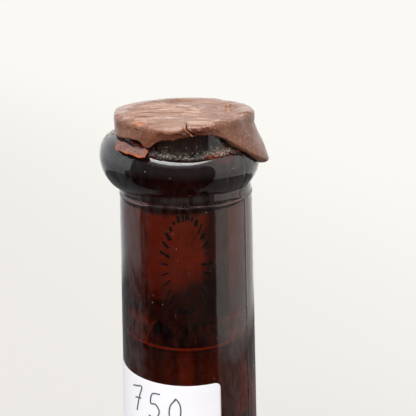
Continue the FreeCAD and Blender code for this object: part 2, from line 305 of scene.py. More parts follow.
def cavity(gap):
    """Outline of the inside from the middle of the base to the mouth, drawn out by gap."""
    neck_foot = (throat_bore_radius + gap, throat_height)
    wall = body_radius - body_wall + gap
    throat = throat_radius + neck_radius(throat_height) - throat_bore_radius - gap
    over, wall_top = shoulder(neck_foot, bore_taper, throat, shoulder_radius - body_wall + gap, wall, 16)
    level, radius, _ = dome()
    radius += base_thickness
    corner_x = body_radius - body_wall - inner_corner
    rise = math.sqrt((radius + inner_corner) ** 2 - corner_x ** 2)
    corner = (corner_x, level + rise)
    meeting = math.degrees(math.atan2(rise, corner_x))
    points = arc((0, level), radius - gap, 89, meeting, 12)
    points += arc(corner, inner_corner + gap, 180 + meeting, 360, 9)[1:]
    points += run((wall, corner[1]), (wall, wall_top), 8)[:-1]
    points += over
    points += run(over[-1], (bore_radius + gap, bore_foot), 1.0)
    points += run((bore_radius + gap, bore_foot), (bore_radius + gap, mouth - 0.3), 2.0)
    return points


seam_steps = (0.0, 0.35, 0.75, 1.2, 1.8, 2.6)
columns = [a for a in np.arange(-180, 180, 1.5)
           if all(abs((a - seam + 180) % 360 - 180) > 3 for seam in seam_azimuths)]
columns += [s + side * k for s in seam_azimuths for side in (-1, 1) for k in seam_steps if k or side > 0]
columns = np.array(sorted(columns))


def glass_ring(radius, level):
    """Azimuths and radii round the bottle's outside: its seams stand proud, and cut in on the finish."""
    above = ramp(level, parting - 0.6, parting + 0.6)
    turned, raised = columns, radius
    for seam in seam_azimuths:
        turned = turned + above * seam_shift * bump(columns, seam, 40)
        away = np.radians(columns - seam) * radius
        proud = -seam_height if above > 0.5 else seam_height
        raised = raised + proud * peak(away, 0, seam_width)
    return turned, raised


def bottle_rings():
    """All rings of the bottle, up the outside and down the inside."""
    level, radius, foot = dome()
    over, wall_top = shoulder((neck_radius(throat_height), throat_height), neck_taper, throat_radius,
                              shoulder_radius, body_radius, 16)
    outline = arc((0, level), radius, 89, math.degrees(math.atan2(-level, foot)), 12)
    outline += run((foot, 0), (foot + foot_ring_width, 0), 2.2)
    outline += arc((body_radius - heel_radius, heel_radius), heel_radius, -90, 0, 9)[1:]
    outline += run((body_radius, heel_radius), (body_radius, wall_top), 8)[:-1]
    outline += over
    bead_low = (neck_radius(parting - parting_bead_width), parting - parting_bead_width)
    outline += run(over[-1], bead_low, 0.75)
    for turn in (30, 60, 90, 120, 150):
        out = parting_bead * math.sin(math.radians(turn)) * (1 + humps(columns, bead_swell))
        outline.append((neck_top_radius + out, parting - parting_bead_width * (1 - turn / 180)))
    outline.append((neck_top_radius, parting))
    rings = [ring(*glass_ring(r, z), z) for r, z in outline]
    cut = parting_groove * (0.35 + humps(columns, groove_deeper))
    for radius, rise, deep in ((neck_top_radius, 0.1, 1), (band_radius, band_step, 0.7),
                               (band_radius, band_step + 0.15, 0)):
        azimuth, raised = glass_ring(radius, parting + rise)
        rings.append(ring(azimuth, raised - deep * cut, parting + rise))
    azimuth, raised = glass_ring(band_radius, parting + 2)
    low, high = collar_limits(azimuth)
    low = np.maximum(low, band_step + 0.2)
    lip = reach(lip_centre, lip_radius, azimuth)
    for share in 0.5 - 0.5 * np.cos(np.linspace(0, np.pi, 46)):
        collar = reach(collar_centre, collar_profile(share), azimuth)
        out = np.maximum(collar, band_radius if share < collar_crest else lip) + (raised - band_radius)
        rings.append(ring(azimuth, out, parting + low + share * (high - low)))
    for share in (0.0, 0.04, 0.2, 0.4, 0.6, 0.8, 1.0):
        rings.append(ring(azimuth, lip, parting + high + share * (lip_top - lip_edge - high)))
    for turn in (20, 45, 70, 90):
        angle = math.radians(turn)
        inset = lip_edge * (1 - math.cos(angle))
        rings.append(ring(azimuth, lip - inset, mouth - lip_edge * (1 - math.sin(angle))))
    rings.append(ring(azimuth, 0.5 * (lip + bore_radius), mouth))
    rings.append(ring(azimuth, bore_radius + 0.3, mouth))
    outside = len(rings)
    rings += [ring(azimuth, r, z) for r, z in reversed(cavity(0.0))]
    return rings, outside


def in_groove(radii, azimuths, levels):
    """How near a spot is to the groove between the lip and the collar, from 0 to 1."""
    _, tops = collar_limits(azimuths)
    lips = reach(lip_centre, lip_radius, azimuths)
    return peak(radii - lips, 0.65, 0.85) * peak(levels - tops, -0.2, 0.7)


# long uneven waves over a face of the glass, as far as the attribute "wave" allows
uneven_glass, entry, add = new_tree("uneven glass", {
    "Width": "Float", "Length": "Float", "Finish": "Material"})
place = add("GeometryNodeInputPosition")
stretch = add("CombineXYZ", {0: entry["Width"], 1: entry["Width"], 2: entry["Length"]})
scaled = add("VectorMath", {0: place, 1: stretch}, operation="DIVIDE")
waves = add("TexNoise", {"Vector": scaled, "Scale": 1.0, "Detail": 1.0, "Roughness": 0.4})
amount = add("GeometryNodeInputNamedAttribute", {"Name": "wave"})
depth = add("Math", {0: waves, 1: amount}, operation="MULTIPLY")
flat = add("VectorMath", {0: place, 1: (1, 1, 0)}, operation="MULTIPLY")
outward = add("VectorMath", {0: flat}, operation="NORMALIZE")
offset = add("VectorMath", {0: outward, "Scale": depth}, operation="SCALE")
moved = add("GeometryNodeSetPosition", {"Geometry": entry["Geometry"], "Offset": offset})
finished = add("GeometryNodeSetMaterial", {"Geometry": moved, "Material": entry["Finish"]})
add("NodeGroupOutput", {0: finished})

# Amber bottle glass, blown and fire-polished: smooth and clear, but iron and carbon in the melt
# swallow nearly all blue and green light within a few millimetres. Dusty smears on it are about a
# millimetre wide, and its faces ripple every two or three. A pattern's scale is written as so many
# features to a millimetre.
amber_glass, add = new_material("amber bottle glass, blown")
place = add("TexCoord").outputs["Object"]
drawn_out = add("Mapping", {"Vector": place, "Scale": (1, 1, 0.35)})
smear = add("TexNoise", {"Vector": drawn_out, "Scale": 0.9 / MM, "Detail": 5.0, "Roughness": 0.65})
patchy = add("MapRange", {0: smear, 1: 0.4, 2: 0.6, 3: 0.1, 4: 1.9})
# the film: dust, and to the sides partly a painted reflection
film_at = add("Attribute", attribute_name="film").outputs["Fac"]
film = add("Math", {0: film_at, 1: patchy}, operation="MULTIPLY")
clear = add("Math", {0: 1.0, 1: film}, operation="SUBTRACT")
swell = add("TexNoise", {"Vector": drawn_out, "Scale": 0.42 / MM})
rippled = add("Bump", {"Height": swell, "Strength": 0.12, "Distance": 0.1 * MM})
surface = add("BsdfPrincipled", {
    "Base Color": srgb("#ffffff"), "Roughness": 0.015, "IOR": 1.52, "Transmission Weight": clear,
    "Normal": rippled})
tint = add("VolumeAbsorption", {"Color": srgb("#e8b55b"), "Density": 590.0})
add("OutputMaterial", {"Surface": surface, "Volume": tint})

rings, outside_rings = bottle_rings()
bottle_mesh = ring_mesh("bottle", rings)
rows_of = np.repeat(np.arange(len(rings)), len(columns))
rows_of = np.append(rows_of, [0, len(rings) - 1])
spots = get_points(bottle_mesh) / MM
azimuths, heights = azimuths_of(spots), spots[:, 2]
waves_at = np.where(rows_of < outside_rings, -outer_wave, inner_wave)
waves_at = np.where(heights < 3, 0.0, waves_at) * ramp(heights, mouth + 0.5, mouth - 5.5)
set_attribute(bottle_mesh, "wave", 2 * waves_at * MM)
# a film of dust on the outside: thin in front, thicker to the sides and on the finish; to the
# sides it is partly a painted reflection of the pale surround
to_side = ramp(np.abs(azimuths - film_clear_middle), film_clear_half, film_clear_half + film_fade)
dust_and_reflection_level = film_front + (side_dust_and_reflection - film_front) * to_side
dust_and_reflection_level *= np.maximum(film_body, ramp(heights, throat_height - 30, throat_height))
dust_and_reflection_level = np.where(heights > parting + film_lip_from, film_lip, dust_and_reflection_level)
dust_and_reflection_level += film_corner * peak(heights - parting, 1.5, 2.5)
dust_and_reflection_level += film_groove * in_groove(np.hypot(spots[:, 0], spots[:, 1]), azimuths, heights - parting)
# inside, wine that splashed up has dried on the wall between the cork and the wine
air_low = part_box("wine")[1].z / MM
air_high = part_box("cork")[0].z / MM
dried_film_and_glint_ring = film_inside * (heights > air_low + 0.2) * (heights < air_high + 1.0)
set_attribute(bottle_mesh, "film", np.where(rows_of < outside_rings, dust_and_reflection_level, dried_film_and_glint_ring))
bottle = grow("bottle", uneven_glass, bottle_mesh, Finish=amber_glass, **wave_size)
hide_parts("bottle_glass")
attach(bottle, "root")


# ------------------------------------------------------------------ the wine
# Dark red wine, filling the bottle up into the neck. It wets the glass, so it reaches just into
# the wall and climbs it a little; a pale ring at its rim paints the thin bright line of light there.
wine_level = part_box("wine")[1].z / MM
wall_reach = 0.06
meniscus_height = 0.35
meniscus_width = 0.6
meniscus_glint_thickness = 0.3
wall_at_rim = throat_bore_radius - bore_taper * (wine_level - throat_height)


def wine_rings():
    """Rings of the wine from the middle of the base, up the wall and in over its surface."""
    rim = wall_at_rim + wall_reach
    outline = [(r, z) for r, z in cavity(wall_reach) if z < wine_level - 0.4]
    outline.append((rim, wine_level))
    for inward in (0.0, 0.12, 0.25, 0.45, 0.7, 1.0, 1.5, 2.2, 3.5, 5.0, 7.0, 9.0):
        climb = meniscus_height * math.exp(-inward / meniscus_width)
        outline.append((rim - inward, wine_level + climb - 0.02))
    around = np.arange(-180, 180, 2.0)
    return [ring(around, r, z) for r, z in outline]


# Red wine: as clear as water, with the deep red of grape skins through its whole depth.
red_wine, add = new_material("red wine")
surface = add("BsdfPrincipled", {
    "Base Color": srgb("#ffffff"), "Roughness": 0.0, "IOR": 1.34, "Transmission Weight": 1.0})
tint = add("VolumeAbsorption", {"Color": srgb("#e2dd7c"), "Density": 403.0})
add("OutputMaterial", {"Surface": surface, "Volume": tint})

wine_mesh = ring_mesh("wine_fill", wine_rings())
set_attribute(wine_mesh, "wave", [2 * inner_wave * MM] * len(wine_mesh.vertices))
wine = grow("wine_fill", uneven_glass, wine_mesh, Finish=red_wine, **wave_size)
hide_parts("wine")
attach(wine, "root")

# A pale orange, dull ring on the glass where the wine's surface meets it: a painted glint, in place of the
# light that the meniscus bends.
meniscus_glint_finish, add = new_material("pale ring, a painted meniscus glint")
surface = add("BsdfPrincipled", {"Base Color": srgb("#ffdaa6"), "Roughness": 0.6})
add("OutputMaterial", {"Surface": surface})

meniscus_glint_tree, entry, add = new_tree("meniscus glint ring", {
    "Radius": "Float", "Thickness": "Float", "Level": "Float", "Finish": "Material"})
hoop = add("GeometryNodeCurvePrimitiveCircle", {"Resolution": 180, "Radius": entry["Radius"]})
bead = add("GeometryNodeCurvePrimitiveCircle", {"Resolution": 10, "Radius": entry["Thickness"]})
line = add("GeometryNodeCurveToMesh", {0: hoop, 1: bead})
height = add("CombineXYZ", {2: entry["Level"]})
raised = add("GeometryNodeTransform", {0: line, "Translation": height})
dried_film_and_glint_ring = add("GeometryNodeSetMaterial", {"Geometry": raised, "Material": entry["Finish"]})
add("NodeGroupOutput", {0: dried_film_and_glint_ring})
meniscus_glint_ring = grow("meniscus_glint_ring", meniscus_glint_tree, bpy.data.meshes.new("meniscus_glint_ring"),
                 Radius=wall_at_rim * MM, Thickness=meniscus_glint_thickness * MM, Level=wine_level * MM, Finish=meniscus_glint_finish)
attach(meniscus_glint_ring, "root")


# ------------------------------------------------------------------ the cork
# A plain bark cork, driven flush with the mouth. It grips dry glass, so a film of air lies round
# it, and its foot is stained by years of wine. Its top is painted dark, as mould and as shade under
# the wax, and its sides are painted darker as shade, so that a lit strip is left down the middle.
cork_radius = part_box("cork")[1].x / MM
stain_level = -17.5
stain_slant = 0.42
shade_and_mould_level = -3.0
lit_strip_middle = -2.0
lit_strip_half = 4.6
mark_bars = 30
mark_size = (8.0, 21.0)
bar_size = (0.55, 1.7, 0.03)
mark_level = -13.5

# Natural cork: warm tan bark with brown pores 3 mm apart and a finer grain between them, dull and
# slightly rough; the foot is dyed a dark purple-brown, the top is darkened by mould and painted
# shade, and the sides by painted shade.
bark, add = new_material("natural cork, wine stained")
place = add("TexCoord").outputs["Object"]
shift = add("Mapping", {"Vector": place, "Location": (0, 0, -parting * MM)})
across, _, up = add("SeparateXYZ", {0: shift}).outputs
grain = add("TexNoise", {"Vector": shift, "Scale": 0.42 / MM, "Detail": 4.0, "Roughness": 0.6})
pores = add("TexVoronoi", {"Vector": shift, "Scale": 0.33 / MM})
pore = add("MapRange", {0: pores, 1: 0.1, 2: 0.3, 3: 0.55})
tan = add("Mix", {"Factor": grain, "A": srgb("#b87a44"), "B": srgb("#ffd098")}, data_type="RGBA")
colour = add("Mix", {"Factor": pore, "A": srgb("#7a4a28"), "B": tan}, data_type="RGBA")
slant = add("Math", {0: across, 1: -stain_slant, 2: up}, operation="MULTIPLY_ADD")
blot = add("TexNoise", {"Vector": shift, "Scale": 0.16 / MM})
ragged = add("Math", {0: blot, 1: 0.006, 2: slant}, operation="MULTIPLY_ADD")
soaked = add("MapRange", {0: ragged, 1: (stain_level + 1) * MM, 2: (stain_level + 5) * MM, 3: 0.9, 4: 0.0})
# the top of the cork darkened: mould, and painted shade under the wax
shade_and_mould_edge = add("Math", {0: blot, 1: 0.002, 2: up}, operation="MULTIPLY_ADD")
shade_and_mould = add("MapRange", {0: shade_and_mould_edge, 1: (shade_and_mould_level + 0.6) * MM, 2: (shade_and_mould_level + 1.6) * MM, 4: 0.9})
# the cork's sides darkened as painted shade, leaving a lit strip down the middle
offside = add("Math", {0: across, 1: lit_strip_middle * MM}, operation="SUBTRACT")
aside = add("Math", {0: offside}, operation="ABSOLUTE")
side_shade_edge = add("Math", {0: blot, 1: 0.003, 2: aside}, operation="MULTIPLY_ADD")
side_shade = add("MapRange", {0: side_shade_edge, 1: (lit_strip_half + 1.5) * MM, 2: (lit_strip_half + 2.7) * MM, 4: 0.8})
for stain_and_shade, code in ((soaked, "#4a221c"), (side_shade, "#3a1a14"), (shade_and_mould, "#3a251b")):
    colour = add("Mix", {"Factor": stain_and_shade, "A": colour, "B": srgb(code)}, data_type="RGBA")
relief = add("Bump", {"Height": pore, "Strength": 0.4, "Distance": 0.2 * MM})
surface = add("BsdfPrincipled", {"Base Color": colour, "Roughness": 0.8, "Normal": relief})
add("OutputMaterial", {"Surface": surface})
cork_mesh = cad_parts["cork"].data
cork_mesh.materials.clear()
cork_mesh.materials.append(bark)

# Food-safe branding ink, burnt in: a plain matt brown-black.
cork_ink, add = new_material("burnt-in cork ink")
surface = add("BsdfPrincipled", {"Base Color": srgb("#2c1a12"), "Roughness": 0.9})
add("OutputMaterial", {"Surface": surface})

# an oval wreath of short bars, rolled onto the side of the cork
wreath, entry, add = new_tree("cork wreath", {
    "Bars": "Int", "Oval": "Vector", "Bar": "Vector", "Cork radius": "Float", "Level": "Float",
    "Ink": "Material"})
loop = add("GeometryNodeMeshCircle", {"Vertices": entry["Bars"]})
spot = add("GeometryNodeInputPosition")
spread = add("VectorMath", {0: spot, 1: entry["Oval"]}, operation="MULTIPLY")
oval = add("GeometryNodeSetPosition", {"Geometry": loop, "Position": spread})
stick = add("GeometryNodeMeshCube", {"Size": entry["Bar"], "Vertices X": 3, "Vertices Y": 4, "Vertices Z": 2})
facing = add("FunctionNodeAlignRotationToVector", {"Vector": spot}, axis="Y", pivot_axis="Z")
worn = add("FunctionNodeRandomValue", {0: (0.6, 0.3, 1.0), 1: (1.5, 1.4, 1.0), "Seed": 4},
           data_type="FLOAT_VECTOR")
bars = add("GeometryNodeInstanceOnPoints", {
    "Points": oval, "Instance": stick, "Rotation": facing, "Scale": worn})
real = add("GeometryNodeRealizeInstances", {0: bars})
along, up, away = add("SeparateXYZ", {0: spot}).outputs
turn = add("Math", {0: along, 1: entry["Cork radius"]}, operation="DIVIDE")
out = add("Math", {0: away, 1: entry["Cork radius"]})
across, ahead = [add("Math", {0: add("Math", {0: turn}, operation=wave), 1: out}, operation="MULTIPLY")
                 for wave in ("SINE", "COSINE")]
back = add("Math", {0: ahead, 1: -1.0}, operation="MULTIPLY")
rise = add("Math", {0: up, 1: entry["Level"]})
rolled = add("CombineXYZ", {0: across, 1: back, 2: rise})
wrapped = add("GeometryNodeSetPosition", {"Geometry": real, "Position": rolled})
inked = add("GeometryNodeSetMaterial", {"Geometry": wrapped, "Material": entry["Ink"]})
add("NodeGroupOutput", {0: inked})
cork_mark = grow("cork_mark", wreath, bpy.data.meshes.new("cork_mark"), Bars=mark_bars,
                 Oval=(mark_size[0] / 2 * MM, mark_size[1] / 2 * MM, 1.0),
                 Bar=tuple(b * MM for b in bar_size), Level=(parting + mark_level) * MM, Ink=cork_ink,
                 **{"Cork radius": (cork_radius + 0.01) * MM})
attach(cork_mark, "root")


# ------------------------------------------------------------------ the sealing wax
# Brown sealing wax, dipped and run down over the mouth. Its top set in parallel wrinkles round a
# small broken bubble; its front edge broke away in an arch, and a crack runs up from the arch.
wax_crown = 1.5
wax_skin = 0.8
wax_radius = 14.65
wax_centre = (-0.05, 0.1)
wax_shoulder = 1.3
wax_draw_in = 0.12
wax_bridge = 0.9
wax_wetting = 0.1
wax_skirt = 2.8
# each hump: (azimuth of its middle, half its width in degrees, how far it lifts or swells)
rim_lift = {
    "broken arch": (10, 42, 1.5),
    "broken point": (-29, 9, -1.2),
    "left lobe": (-78, 40, -0.4),
    "long run": (86, 60, -7.0),
    "back lobe": (176, 46, -1.6),
    "back notch": (-135, 30, 0.8),
}
run_slope = 0.43
run_top = 14.6
# side shift and level over the mouth of each turn of the crack
crack_turns = ((0.3, 1.8), (0.9, 1.05), (0.72, 0.18), (1.43, -0.47), (1.85, -0.8), (2.5, -1.6), (3.3, -2.2))
fold_height = 0.5
crack_depth = 1.15
crack_half_width = 0.17
broken_edge = 1.6
rim_bead = ((84, 62, 0.62), (-80, 60, 0.15))
rounding = ((-10, 75, 0.7), (-112, 55, -0.75), (-12, 45, 0.45))
front_slope = (-12, 55, 1.9)
front_bevel = (-12, 50, 0.25)
left_sag = (-105, 100, 0.3)
bubble_place = (9.2, 2.6)
bubble_size = (1.0, 2.5)
scar_place = (6.2, 1.2)
scar_size = (4.6, 3.2)
scuff_highlight_place = (-8.6, 0.7)
scuff_highlight_size = (1.5, 0.35)
# azimuth, level over the mouth, width, height and depth of two soft marks beside the run
dimple = (55, -3.4, 0.45, 0.4, 0.16)
hollow = (62, -0.6, 2.2, 2.6, 0.35)
mm_per_degree = 0.27


def field(points, size, seed):
    """Smooth random number from -1 to 1 at each point, in features about size millimetres wide."""
    shift = Vector((seed * 7.3, seed * 3.1, seed * 5.7))
    scaled = points.reshape(-1, 3) / np.array(size, dtype=float)
    return np.array([noise.noise(Vector(p) + shift) for p in scaled]).reshape(points.shape[:-1])


def finish_radius(azimuth, level):
    """Distance from the neck's axis to the surface of lip or collar, at a level above the parting line."""
    low, high = collar_limits(azimuth)
    share = (level - low) / (high - low)
    lip = reach(lip_centre, lip_radius, azimuth)
    collar = reach(collar_centre, collar_profile(share), azimuth)
    return np.where((share > 0) & (share < 1), np.maximum(lip, collar), lip)


def wax_rim(azimuth):
    """Level of the wax's lower edge above the parting line, at an azimuth."""
    return lip_top - wax_skirt + humps(azimuth, *rim_lift.values())


def wax_radius_at(azimuth, level):
    """Outer radius of the wax: its own drum, swelling where it runs down over the collar."""
    run_at, run_width, _ = rim_lift["long run"]
    lobe_at, lobe_width, _ = rim_lift["left lobe"]
    lean = run_slope * np.maximum(0, run_top - level) * bump(azimuth, run_at, run_width + 10)
    tuck = wax_draw_in * np.maximum(0, lip_top - level) * bump(azimuth, lobe_at, 1.5 * lobe_width)
    drum = reach(wax_centre, wax_radius, azimuth) + lean - tuck
    coat = finish_radius(azimuth, level) + wax_skin
    return 0.5 * (drum + coat + np.sqrt((drum - coat) ** 2 + wax_bridge ** 2)) - wax_wetting


def crack_azimuth(level):
    """Azimuth of the crack at a level above the mouth."""
    shifts, turns = np.array(crack_turns)[::-1].T
    return np.degrees(np.arcsin(np.interp(level, turns, shifts) / wax_radius))


crack_steps = (0.0, 0.35, 0.66, 0.75, 1.1, 1.6, 2.3)
wax_columns = [a for a in np.arange(-180, 180, 0.9) if abs(a) > 3]
wax_columns += [side * k for side in (-1, 1) for k in crack_steps if k or side > 0]
wax_columns = np.array(sorted(wax_columns))
broken = bump(wax_columns, 2, 34) ** 0.5
round_drum = ring(wax_columns, wax_radius, 0.0)
jagged, fine_jag = field(round_drum, 1.6, 3), field(round_drum, 0.5, 4)


def wax_column(level):
    """Azimuths of the columns at a level: near the front they follow the crack."""
    centre = crack_azimuth(level - lip_top)
    return wax_columns + centre * bump(wax_columns, 0, 30)


def wax_rings():
    """Rings of the wax: over the mouth, down its inside, round the rim, up and in over the top."""
    rim = wax_rim(wax_columns) + 0.1 * jagged + (0.06 + 0.12 * broken) * fine_jag
    rings = [(wax_columns, r, lip_top - 0.03) for r in (0.2, 4.0, 8.0, 11.5)]
    for share in (1.0, 0.8, 0.6, 0.4, 0.2, 0.05):
        level = rim + share * (lip_top - 0.2 - rim)
        azimuth = wax_column(level)
        rings.append((azimuth, finish_radius(azimuth, level) - 0.04, level))
    # the rim: a round bead where the wax ran and stopped, nearly square where it broke
    bead = (0.3 + humps(wax_columns, *rim_bead)) * (1 - broken) + 0.12 * broken
    start = rim + bead
    azimuth = wax_column(start)
    outer = wax_radius_at(azimuth, start)
    inner = finish_radius(azimuth, rim) - 0.02
    under = np.maximum(outer - bead, inner + 0.1)
    rings.append((wax_column(rim), 0.6 * inner + 0.4 * under, rim))
    for turn in (0, 25, 50, 72):
        angle = math.radians(turn)
        out = under + (outer - under) * math.sin(angle)
        rings.append((azimuth, out, start - bead * math.cos(angle)))
    fall = wax_shoulder + humps(wax_columns, *rounding)
    run_in = fall + humps(wax_columns, front_slope)
    bevel = humps(wax_columns, front_bevel)
    top = lip_top + wax_crown - humps(wax_columns, left_sag) - fall
    for share in np.linspace(0.0, 1.0, 34):
        level = start + share * (top - start)
        azimuth = wax_column(level)
        rings.append((azimuth, wax_radius_at(azimuth, level), level))
    radius = rings[-1][1]
    for turn in np.linspace(9, 90, 10):
        angle = math.radians(turn)
        level = top + fall * ((1 - bevel) * math.sin(angle) + bevel * turn / 90)
        azimuth = wax_column(level + 0.3 * math.sin(angle) ** 4)
        inward = run_in * ((1 - bevel) * (1 - math.cos(angle)) + bevel * turn / 90)
        rings.append((azimuth, radius - inward, level))
    edge = rings[-1][1]
    edge_level = top + fall
    for share in np.linspace(0.022, 0.985, 52):
        settled = edge_level + (lip_top + wax_crown - edge_level) * min(1, share * 4)
        rings.append((azimuth * (1 - share) + wax_columns * share, edge * (1 - share), settled))
    return np.array([ring(a, r, parting + z) for a, r, z in rings]), rim


# the ring of the rim's edge, and the last one of its round bead
rim_row, bead_row = 10, 14
wax_points, rim = wax_rings()
across = np.roll(wax_points, -1, axis=1) - np.roll(wax_points, 1, axis=1)
normals = np.cross(across, np.gradient(wax_points, axis=0))
normals /= np.linalg.norm(normals, axis=2, keepdims=True) + 1e-9
x, y, levels = np.moveaxis(wax_points, 2, 0) - np.reshape((0, 0, parting + lip_top), (3, 1, 1))
flat_top = ramp(normals[..., 2], 0.5, 0.9)
side = 1 - flat_top
off_axis = np.hypot(x, y)
rows = np.arange(len(wax_points))[:, None]
outside_rows = rows >= rim_row
outer_rows = rows >= bead_row
front_fade = ramp(off_axis, 8, 14) * bump(wax_columns, -5, 60)


def rough(size, seed):
    """Smooth random relief over the wax, in features about size millimetres wide."""
    return field(wax_points, size, seed)


def near(u, v, place, size):
    """Distance of each point from a place on the wax, in units of that mark's size."""
    return np.hypot((u - place[0]) / size[0], (v - place[1]) / size[1])


def ridges(size, seed, bend):
    """Sharp-topped folds from -1 to 1 that run from side to side."""
    bent = np.stack([x, y + bend, 0 * x], axis=-1)
    return 1 - 2 * np.minimum(1, 2.4 * np.abs(field(bent, size, seed)))


# wrinkles: long folds across the top, fading at the front edge and where the wax ran
bend = 1.5 * rough((16, 9, 10), 11) + 0.35 * rough((5, 3, 4), 12) + 0.08 * x
folds = 0.6 * ridges((26.0, 2.0, 1), 13, bend) + 0.4 * ridges((15.0, 1.0, 1), 14, 0.8 * bend)
folds *= 0.75 + 0.7 * rough((7, 3, 7), 23)
rolled = ramp(off_axis, 10.9, 12.5) * (y > -4)
calm = (1 - 0.7 * front_fade) * (1 - 0.92 * rolled)
relief = flat_top * calm * fold_height * (folds - 0.45)
relief += flat_top * (1 - 0.8 * rolled) * (0.1 * rough((6, 4, 6), 15) - 0.16)
# gentle unevenness of a dipped coat, and small pits
relief += 0.4 * side * (rough((5.2, 5.2, 3.6), 16) - 0.15) + 0.07 * rough((2.1, 2.1, 1.6), 17)
relief += 0.04 * rough((0.8, 0.8, 0.7), 22) - 0.22 * np.clip(rough(0.7, 18) - 0.5, 0, 1)
# the broken bubble and the scar round it
bubble = near(x, y, bubble_place, bubble_size)
curled_rim = np.exp(-(bubble - 0.95) ** 2 / 0.1) * flat_top
relief += 0.85 * curled_rim - flat_top * (0.5 * peak(bubble, 0, 3.0) + peak(bubble, 0, 0.65))
scar = peak(near(x, y, scar_place, scar_size), 0, 1)
relief += flat_top * 0.22 * scar * rough((0.9, 0.7, 0.9), 19)
# a dimple low on the run, and a soft hollow beside it
for turn, level, wide, tall, deep in (dimple, hollow):
    away = near(wax_columns, levels, (turn, level), (wide / mm_per_degree, tall))
    relief -= outside_rows * deep * peak(away, 0, 1)
# the break along the arch: a bare rough face under the smooth skin
break_line = broken_edge * (0.85 + 0.35 * jagged + 0.25 * fine_jag)
above_rim = levels + lip_top - rim
break_face = outside_rows * (side > 0.5) * broken * ramp(break_line - above_rim, 0, 0.1)
relief += break_face * (0.13 * rough((0.45, 0.45, 0.35), 20) - 0.26)
# the crack, with the lip on its left stood up a little
arm = np.radians(wax_columns) * wax_radius
reachable = ramp(off_axis, 12.6, 12.9) * (np.abs(wax_columns) < 25) * outer_rows
down = ramp(levels, 1.45, -1.55)
groove = 1 / (1 + np.exp((np.abs(arm) - crack_half_width * (0.5 + 0.65 * down)) / 0.018))
crack = groove * reachable
relief += reachable * 0.14 * peak(arm, -0.4, 0.22) - crack_depth * crack
wax_points = wax_points + normals * (relief * outside_rows)[..., None]
wax_points[..., 2] = np.minimum(wax_points[..., 2], mouth + wax_crown - 0.01)

# for the colour, how much each spot is a fresh break with painted shade, a scuff with a painted
# highlight, or the dusty top with painted highlights
# the crack's torn lip, paler: torn wax, and painted highlight where it stands up
torn_lip_and_highlight = 0.9 * peak(arm, -0.36, 0.16) * reachable * (levels < 0.9)
# a deeper red on broken faces; the crack and the bubble's hollow darkened as painted shade
broken_and_shaded = np.clip(break_face + crack + peak(bubble, 0, 0.6) * flat_top, 0, 1)
# a pale rub on the left front edge, with a painted highlight
scuff_and_highlight = peak(near(x, levels, scuff_highlight_place, scuff_highlight_size), 0, 1) * (y < 0)
scuff_and_highlight = np.clip(1.6 * scuff_and_highlight * (0.6 + 0.9 * rough((0.8, 0.8, 0.5), 21)), 0, 1)
scuff_and_highlight = np.clip(scuff_and_highlight + 0.7 * torn_lip_and_highlight, 0, 1)
tan_spot = 0.65 * curled_rim * ramp(x, bubble_place[0] + 0.5, bubble_place[0] - 0.1)
# paler on the top, most on the fold crests: dusty bloom, and painted highlight where the crests catch light
bloom_and_highlight_at = flat_top * np.clip(0.4 + 0.7 * folds, 0, 1)
# a pale patch on the front shoulder: painted highlight
bloom_and_highlight_at += 0.45 * bump(wax_columns, -10, 20) * peak(levels, 0.75, 0.5) * outer_rows
wax_mesh = ring_mesh("wax", wax_points)
marks_and_painted_light = {"broken_and_shaded": broken_and_shaded, "scuff_and_highlight": scuff_and_highlight, "tan": tan_spot, "bloom_and_highlight": bloom_and_highlight_at, "top": 2.0 * flat_top * calm}
for name, values in marks_and_painted_light.items():
    set_attribute(wax_mesh, name, np.append(values.reshape(-1), [0, values[-1].mean()]))

# Sealing wax: shellac, rosin and brown pigment, poured and set by itself. Satin where it ran,
# bloomed and dusty on top, and redder where it broke. The crack and the bubble's hollow are painted
# dark as shade; the fold crests, the front shoulder, a scuff and the crack's torn lip are painted pale
# as highlights. Its mottling is about 4 mm across, its creases 1 mm and its specks half that.
sealing_wax, add = new_material("brown sealing wax, poured")
place = add("TexCoord").outputs["Object"]
mottle = add("TexNoise", {"Vector": place, "Scale": 0.26 / MM, "Detail": 5.0, "Roughness": 0.6})
broad = add("TexNoise", {"Vector": place, "Scale": 0.09 / MM})
speck = add("MapRange", {0: mottle, 1: 0.38, 2: 0.68, 4: 0.3})
fine = add("TexNoise", {"Vector": place, "Scale": 1.9 / MM, "Detail": 1.0})
grains = add("MapRange", {0: fine, 1: 0.54, 2: 0.7, 4: 0.36})
creased = add("Mapping", {"Vector": place, "Scale": (0.1, 1, 0)})
crease = add("TexNoise", {"Vector": creased, "Scale": 0.9 / MM, "Roughness": 0.6, "Distortion": 0.3})
pale = add("MapRange", {0: crease, 1: 0.35, 2: 0.65, 3: 0.65, 4: 1.2})
at = {name: add("Attribute", attribute_name=name).outputs["Fac"] for name in marks_and_painted_light}
bloom_and_highlight = add("Math", {0: at["bloom_and_highlight"], 1: pale}, operation="MULTIPLY")
colour = add("Mix", {"Factor": broad, "A": srgb("#633621"), "B": srgb("#7f4c34")}, data_type="RGBA")
for layer, code in ((speck, "#9b6b52"), (grains, "#b98e79"), (bloom_and_highlight, "#b48f7c"), (at["broken_and_shaded"], "#552719"),
                    (at["scuff_and_highlight"], "#c98a6a"), (at["tan"], "#b27c5a")):
    colour = add("Mix", {"Factor": layer, "A": colour, "B": srgb(code)}, data_type="RGBA")
sheen = add("MapRange", {0: mottle, 1: 0.3, 2: 0.7, 3: 0.22, 4: 0.38})
fold = add("Math", {0: crease, 1: at["top"], 2: mottle}, operation="MULTIPLY_ADD")
skin = add("Bump", {"Height": fold, "Strength": 0.6, "Distance": 0.2 * MM})
surface = add("BsdfPrincipled", {"Base Color": colour, "Roughness": sheen, "IOR": 1.47, "Normal": skin})
add("OutputMaterial", {"Surface": surface})

